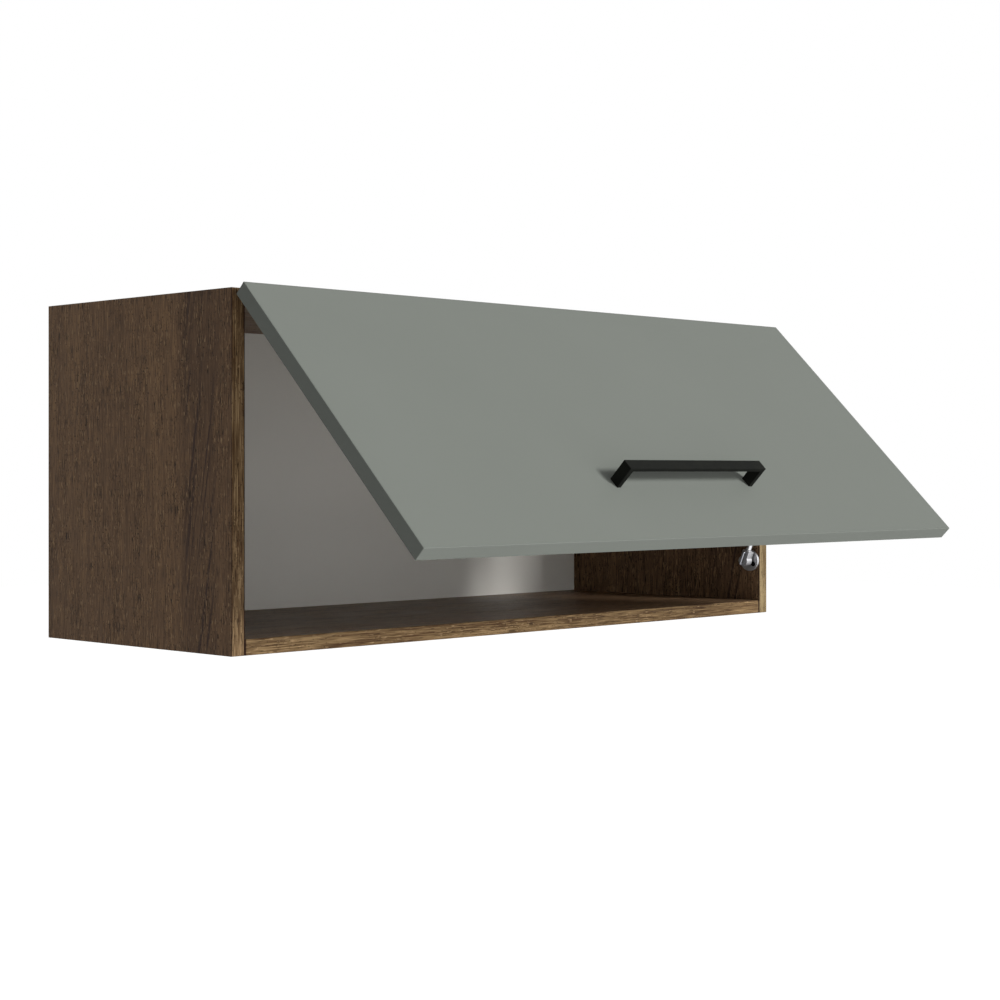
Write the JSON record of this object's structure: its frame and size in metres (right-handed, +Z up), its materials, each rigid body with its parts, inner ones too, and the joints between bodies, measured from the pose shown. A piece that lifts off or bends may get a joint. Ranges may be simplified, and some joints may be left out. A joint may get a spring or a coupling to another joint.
{
  "type": "lift up wall cabinet",
  "caption": "Wall-hung kitchen cabinet with a top-hinged lift-up front, bar handle, concealed hinges and a gas strut.",
  "frame": {"origin": "middle of the flat back face, where the cabinet meets the wall", "axes": "+X to the right seen from the front, +Y into the wall, +Z up; the front is at -Y"},
  "size_m": [0.8, 0.5517, 0.3393],
  "materials": {
    "dark_wood": "textured wood-grain decor, satin",
    "edge_wood": "wood-grain edge band, satin",
    "back_sheet": "smooth off-white foil",
    "green_front": "fine matt grey-green",
    "black_metal": "matt powder coat",
    "nickel_steel": "nickel plated, satin",
    "screw_steel": "zinc plated",
    "black_screw": "black zinc",
    "bright_rod": "polished",
    "black_tube": "semi-gloss paint",
    "cam_zinc": "die-cast zinc",
    "beech": "bare fluted beech",
    "black_plastic": "matt",
    "clear_bumper": "milky soft plastic"
  },
  "bodies": {
    "cabinet": {"side_panel_left": "dark_wood", "side_panel_right": "dark_wood", "top_panel": "dark_wood", "bottom_panel": "dark_wood", "back_panel": "back_sheet", "edge_band_left": "edge_wood", "edge_band_right": "edge_wood", "edge_band_top": "edge_wood", "edge_band_bottom": "edge_wood", "wood_dowels": "beech", "cam_locks": "cam_zinc", "cam_bolts": "screw_steel", "back_nails": "screw_steel", "hanger_left": "nickel_steel", "hanger_right": "nickel_steel", "hanger_screws": "screw_steel", "hinge_plate_left": "nickel_steel", "hinge_plate_right": "nickel_steel", "hinge_plate_screws": "screw_steel", "hinge_arm_left": "nickel_steel", "hinge_arm_right": "nickel_steel", "hinge_arm_screws": "screw_steel", "hinge_link_pins": "screw_steel", "side_bracket": "nickel_steel", "side_bracket_screws": "black_screw"},
    "hinge_links": {"hinge_link_left": "nickel_steel", "hinge_link_right": "nickel_steel"},
    "door": {"door_panel": "green_front", "door_band_left": "green_front", "door_band_right": "green_front", "door_band_top": "green_front", "door_band_bottom": "green_front", "door_bumpers": "clear_bumper", "handle": "black_metal", "handle_screws": "screw_steel", "hinge_cup_left": "nickel_steel", "hinge_cup_right": "nickel_steel", "hinge_cup_screws": "screw_steel", "door_bracket": "nickel_steel", "door_bracket_screws": "screw_steel"},
    "strut_tube": {"strut_tube": "black_tube", "strut_rod_guide": "black_plastic", "strut_upper_end": "nickel_steel", "strut_upper_clip": "screw_steel"},
    "strut_rod": {"strut_rod": "bright_rod", "strut_piston": "black_plastic"},
    "strut_lower_end": {"strut_lower_end": "nickel_steel", "strut_lower_clip": "screw_steel"}
  },
  "joints": [
    {"name": "door_lift", "type": "hinge", "parent": "cabinet", "child": "door", "pos_m": [0, -0.3095, 0.1665], "axis": [-1, 0, 0], "range_deg": [-45.35, 29.65]},
    {"name": "hinge_link_swing", "type": "hinge", "parent": "cabinet", "child": "hinge_links", "pos_m": [0, -0.3, 0.1385], "axis": [1, 0, 0], "range_deg": [-9.32, 6.18]},
    {"name": "strut_top_swing", "type": "hinge", "parent": "door", "child": "strut_tube", "pos_m": [0.375, -0.36338, 0.08586], "axis": [1, 0, 0], "range_deg": [-51.42, 33.71]},
    {"name": "strut_stroke", "type": "slide", "parent": "strut_tube", "child": "strut_rod", "axis": [0, 0.3686, -0.9296], "range_m": [-0.0728, 0.0478]},
    {"name": "strut_foot_swing", "type": "hinge", "parent": "cabinet", "child": "strut_lower_end", "pos_m": [0.375, -0.2875, -0.1055], "axis": [1, 0, 0], "range_deg": [-6.07, 4.06]}
  ],
  "couplings": [
    {"joint": "hinge_link_swing", "follows": "door_lift", "ratio": 0.2},
    {"joint": "strut_top_swing", "follows": "door_lift", "ratio": 1.1284},
    {"joint": "strut_stroke", "follows": "door_lift", "m_per_rad": 0.091314},
    {"joint": "strut_foot_swing", "follows": "door_lift", "ratio": 0.12841}
  ]
}
